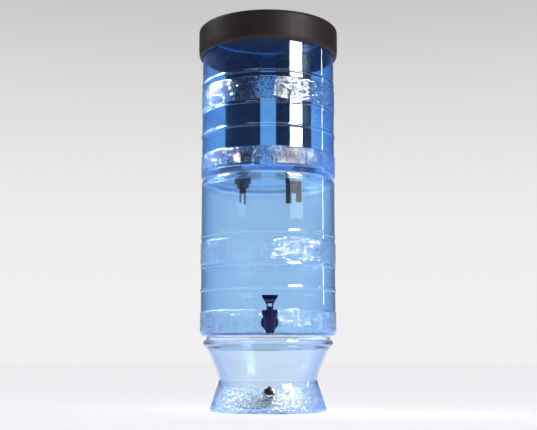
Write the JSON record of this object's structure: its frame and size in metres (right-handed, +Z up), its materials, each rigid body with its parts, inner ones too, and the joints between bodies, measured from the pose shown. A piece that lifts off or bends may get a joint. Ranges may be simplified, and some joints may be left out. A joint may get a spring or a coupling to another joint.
{
  "type": "gravity water filter with tap",
  "caption": "Tall clear-blue gravity water filter: a lidded upper chamber with filter elements, nested on a lower chamber with a lever tap, on an hourglass lighted stand.",
  "frame": {"origin": "centre of the stand's foot, on the surface it stands on", "axes": "+Z up the stack, -Y towards the tap and the light button, +X to the right seen from the front"},
  "size_m": [0.2488, 0.2746, 0.676],
  "materials": {
    "clear_blue_plastic": "clear tinted moulded plastic, two pebbled bands",
    "pale_blue_plastic": "clear pale tinted plastic, pebbled on the lower flare",
    "lid_plastic": "fine matt moulding texture",
    "tap_blue": "dark navy moulded plastic",
    "black_plastic": "black moulded plastic",
    "filter_black": "fine-pored black filter block",
    "washer_rubber": "soft matt rubber",
    "seat_silicone": "soft pale silicone",
    "screw_steel": "bright steel",
    "bright_ring": "polished plating",
    "button_black": "satin domed head",
    "white_plastic": "satin white moulding",
    "frosted_lens": "frosted clear lens",
    "board_green": "lacquered board",
    "lamp_clear": "clear lamp resin",
    "cell_metal": "sleeved cell",
    "lead_rubber": "matt lead"
  },
  "bodies": {
    "stand": {"stand_shell": "pale_blue_plastic", "bottom_cover": "pale_blue_plastic", "cover_screws": "screw_steel", "light_case": "white_plastic", "light_case_screws": "screw_steel", "battery_tray": "black_plastic", "battery_cells": "cell_metal", "light_board": "board_green", "led_lamps": "lamp_clear", "light_lens": "frosted_lens", "switch_body": "black_plastic", "switch_bezel": "bright_ring", "switch_nut": "black_plastic", "switch_lead": "lead_rubber"},
    "light_button": {"push_button": "button_black"},
    "lower_vessel": {"lower_chamber": "clear_blue_plastic", "tap_body": "tap_blue", "tap_outer_washer": "washer_rubber", "tap_inner_washer": "washer_rubber", "tap_shank_nut": "tap_blue", "bonnet_seal": "washer_rubber", "tap_bonnet": "tap_blue"},
    "tap_plunger": {"tap_plunger": "tap_blue", "tap_seat_cup": "seat_silicone", "lever_pin": "screw_steel"},
    "tap_lever": {"tap_lever": "tap_blue"},
    "upper_vessel": {"upper_chamber": "clear_blue_plastic", "left_filter_element": "filter_black", "left_element_cap": "black_plastic", "left_element_base": "black_plastic", "left_sealing_washer": "washer_rubber", "left_wing_nut": "black_plastic", "right_filter_element": "filter_black", "right_element_cap": "black_plastic", "right_element_base": "black_plastic", "right_sealing_washer": "washer_rubber", "right_wing_nut": "black_plastic"},
    "lid": {"lid": "lid_plastic"}
  },
  "joints": [
    {"name": "light_button_press", "type": "slide", "parent": "stand", "child": "light_button", "axis": [0, 0.9466, -0.3224], "range_m": [0, 0.0012], "stiffness_N_per_m": 400},
    {"name": "lower_vessel_lift", "type": "slide", "parent": "stand", "child": "lower_vessel", "axis": [0, 0, 1], "range_m": [0, 0.03]},
    {"name": "tap_plunger_lift", "type": "slide", "parent": "lower_vessel", "child": "tap_plunger", "axis": [0, 0, 1], "range_m": [0, 0.004]},
    {"name": "tap_lever_turn", "type": "hinge", "parent": "tap_plunger", "child": "tap_lever", "pos_m": [0, -0.1373, 0.1703], "axis": [1, 0, 0], "range_deg": [0, 60], "stiffness_Nm_per_rad": 0.05, "springref_deg": -17.19},
    {"name": "upper_vessel_lift", "type": "slide", "parent": "lower_vessel", "child": "upper_vessel", "axis": [0, 0, 1], "range_m": [0, 0.06]},
    {"name": "lid_lift", "type": "slide", "parent": "upper_vessel", "child": "lid", "axis": [0, 0, 1], "range_m": [0, 0.06]}
  ],
  "couplings": [
    {"joint": "tap_plunger_lift", "follows": "tap_lever_turn", "m_per_rad": 0.0038197}
  ]
}
